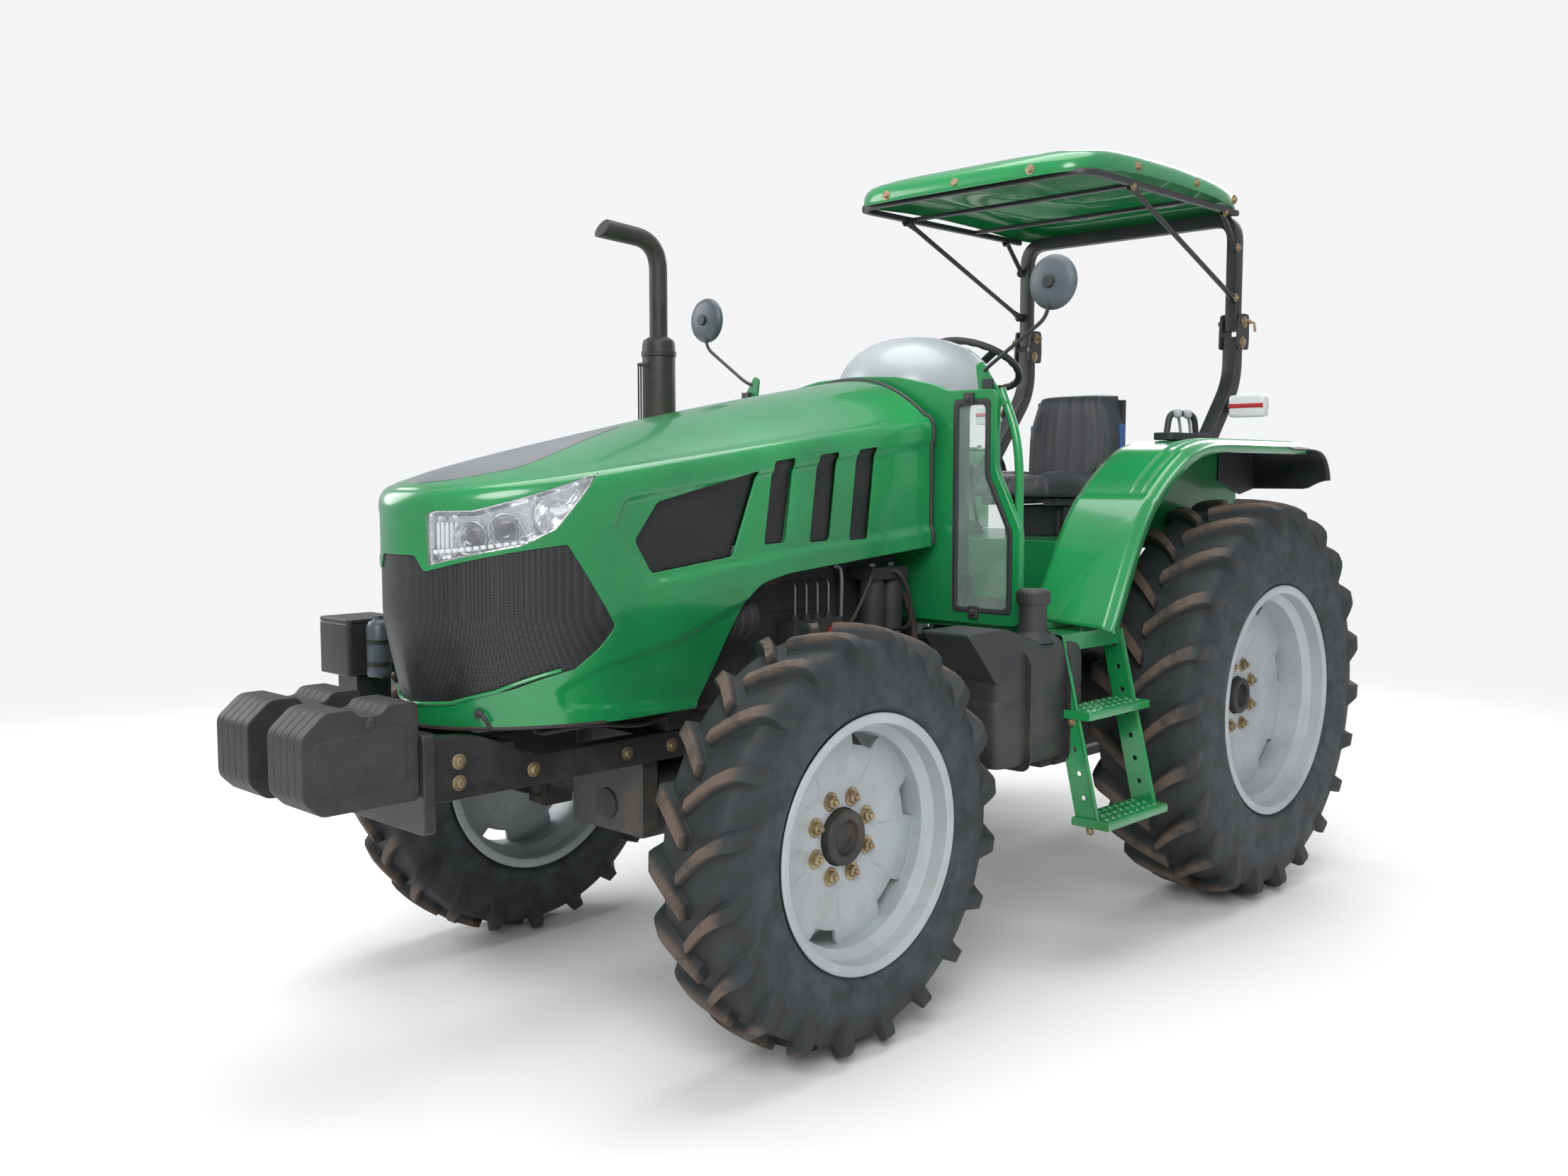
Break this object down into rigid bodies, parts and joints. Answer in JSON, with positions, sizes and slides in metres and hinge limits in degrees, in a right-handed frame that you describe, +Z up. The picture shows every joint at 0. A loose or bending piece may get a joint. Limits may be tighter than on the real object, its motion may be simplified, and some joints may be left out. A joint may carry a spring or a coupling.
{
  "type": "farm tractor",
  "caption": "Open-station four-wheel-drive farm tractor: steerable lugged wheels, tilting bonnet, folding roll-over frame with canopy, front ballast and rear linkage.",
  "frame": {"origin": "On the ground under the middle of the whole tractor, halfway along its length on its centre plane.", "axes": "+X is the tractor's left side, +Y points to its rear and +Z up; the bonnet faces -Y."},
  "size_m": [2.238, 4.685, 3.0399],
  "materials": {
    "black_metal": "satin",
    "black_plastic": "satin",
    "cast_black": "matt",
    "dark_mesh": "matt",
    "green_paint": "gloss",
    "grey_plastic": "satin",
    "insert_grey": "satin",
    "lamp_lens": "clear",
    "marker_plastic": "gloss",
    "screen_glass": "clear",
    "seat_vinyl": "satin",
    "silver_paint": "satin",
    "steel": "brushed",
    "tyre": "matt"
  },
  "bodies": {
    "chassis": {"controls": "black_plastic", "cowl": "green_paint", "engine_block": "cast_black", "engine_parts": "cast_black", "exhaust": "black_metal", "fender_flaps": "black_plastic", "fenders": "green_paint", "front_axle_beam": "cast_black", "front_frame": "black_metal", "front_weights": "cast_black", "fuel_tank": "black_plastic", "instrument_dome": "grey_plastic", "mirrors": "black_plastic", "platform": "green_paint", "rear_axle_housing": "cast_black", "rear_lamps": "marker_plastic", "rops_lower": "black_metal", "shield_frames": "black_plastic", "shield_glass": "screen_glass", "steering_column": "black_plastic", "transmission_housing": "cast_black"},
    "wheel_front_left": {"rim_front_left": "silver_paint", "tyre_front_left": "tyre"},
    "wheel_front_right": {"rim_front_right": "silver_paint", "tyre_front_right": "tyre"},
    "wheel_rear_left": {"rim_rear_left": "silver_paint", "tyre_rear_left": "tyre"},
    "wheel_rear_right": {"rim_rear_right": "silver_paint", "tyre_rear_right": "tyre"},
    "knuckle_left": {"knuckle_left": "cast_black"},
    "knuckle_right": {"knuckle_right": "cast_black"},
    "steering_rod": {"steering_rod": "steel"},
    "steering_wheel": {"steering_wheel": "black_plastic"},
    "hood": {"hood_shell": "green_paint", "hood_mesh": "dark_mesh", "grille_mesh": "dark_mesh", "headlamps": "lamp_lens", "hood_insert": "insert_grey"},
    "roof": {"rops_upper": "black_metal", "canopy_shell": "green_paint"},
    "seat": {"seat_frame": "black_metal", "seat_cushion": "seat_vinyl", "seat_back": "seat_vinyl"},
    "lower_links": {"lower_links": "black_metal"},
    "lift_arms": {"lift_arms": "black_metal"},
    "lift_rods": {"lift_rods": "black_metal"},
    "pto_shaft": {"pto_shaft": "steel"}
  },
  "joints": [
    {"name": "front_left_spin", "type": "hinge", "parent": "knuckle_left", "child": "wheel_front_left", "pos_m": [0.8, -0.9675, 0.63], "axis": [-1, 0, 0], "continuous": true},
    {"name": "front_right_spin", "type": "hinge", "parent": "knuckle_right", "child": "wheel_front_right", "pos_m": [-0.8, -0.9675, 0.63], "axis": [-1, 0, 0], "continuous": true},
    {"name": "rear_left_spin", "type": "hinge", "parent": "chassis", "child": "wheel_rear_left", "pos_m": [0.904, 1.3325, 0.795], "axis": [-1, 0, 0], "continuous": true},
    {"name": "rear_right_spin", "type": "hinge", "parent": "chassis", "child": "wheel_rear_right", "pos_m": [-0.904, 1.3325, 0.795], "axis": [-1, 0, 0], "continuous": true},
    {"name": "steer_left", "type": "hinge", "parent": "chassis", "child": "knuckle_left", "pos_m": [0.64, -0.9675, 0.63], "axis": [0, 0, 1], "range_deg": [-32, 32]},
    {"name": "steer_right", "type": "hinge", "parent": "chassis", "child": "knuckle_right", "pos_m": [-0.64, -0.9675, 0.63], "axis": [0, 0, 1], "range_deg": [-32, 32]},
    {"name": "steer_rod", "type": "slide", "parent": "chassis", "child": "steering_rod", "axis": [-1, 0, 0], "range_m": [-0.06939, 0.06939]},
    {"name": "steer_wheel", "type": "hinge", "parent": "chassis", "child": "steering_wheel", "pos_m": [0, 0.7825, 2.14], "axis": [0, 0.4695, 0.8829], "range_deg": [-449, 449]},
    {"name": "hood_lift", "type": "hinge", "parent": "chassis", "child": "hood", "pos_m": [0, -0.0195, 1.998], "axis": [-1, 0, 0], "range_deg": [0, 50]},
    {"name": "roof_fold", "type": "hinge", "parent": "chassis", "child": "roof", "pos_m": [0, 1.9875, 2.365], "axis": [-1, 0, 0], "range_deg": [0, 90]},
    {"name": "seat_slide", "type": "slide", "parent": "chassis", "child": "seat", "axis": [0, 1, 0], "range_m": [-0.075, 0.075]},
    {"name": "link_lift", "type": "hinge", "parent": "chassis", "child": "lower_links", "pos_m": [0, 1.5825, 0.56], "axis": [1, 0, 0], "range_deg": [-12, 25]},
    {"name": "arm_lift", "type": "hinge", "parent": "chassis", "child": "lift_arms", "pos_m": [0, 1.5325, 1], "axis": [1, 0, 0], "range_deg": [-16, 32]},
    {"name": "rod_swing", "type": "hinge", "parent": "lift_arms", "child": "lift_rods", "pos_m": [0, 1.8125, 1.04], "axis": [1, 0, 0], "range_deg": [-32, 16]},
    {"name": "pto_spin", "type": "hinge", "parent": "chassis", "child": "pto_shaft", "pos_m": [0, 1.6325, 0.64], "axis": [0, 1, 0], "continuous": true}
  ],
  "couplings": [
    {"joint": "steer_right", "follows": "steer_left", "ratio": 1},
    {"joint": "steer_rod", "follows": "steer_left", "m_per_rad": 0.12335},
    {"joint": "steer_wheel", "follows": "steer_left", "ratio": 14},
    {"joint": "arm_lift", "follows": "link_lift", "ratio": 1.25},
    {"joint": "rod_swing", "follows": "link_lift", "ratio": -1.25}
  ]
}
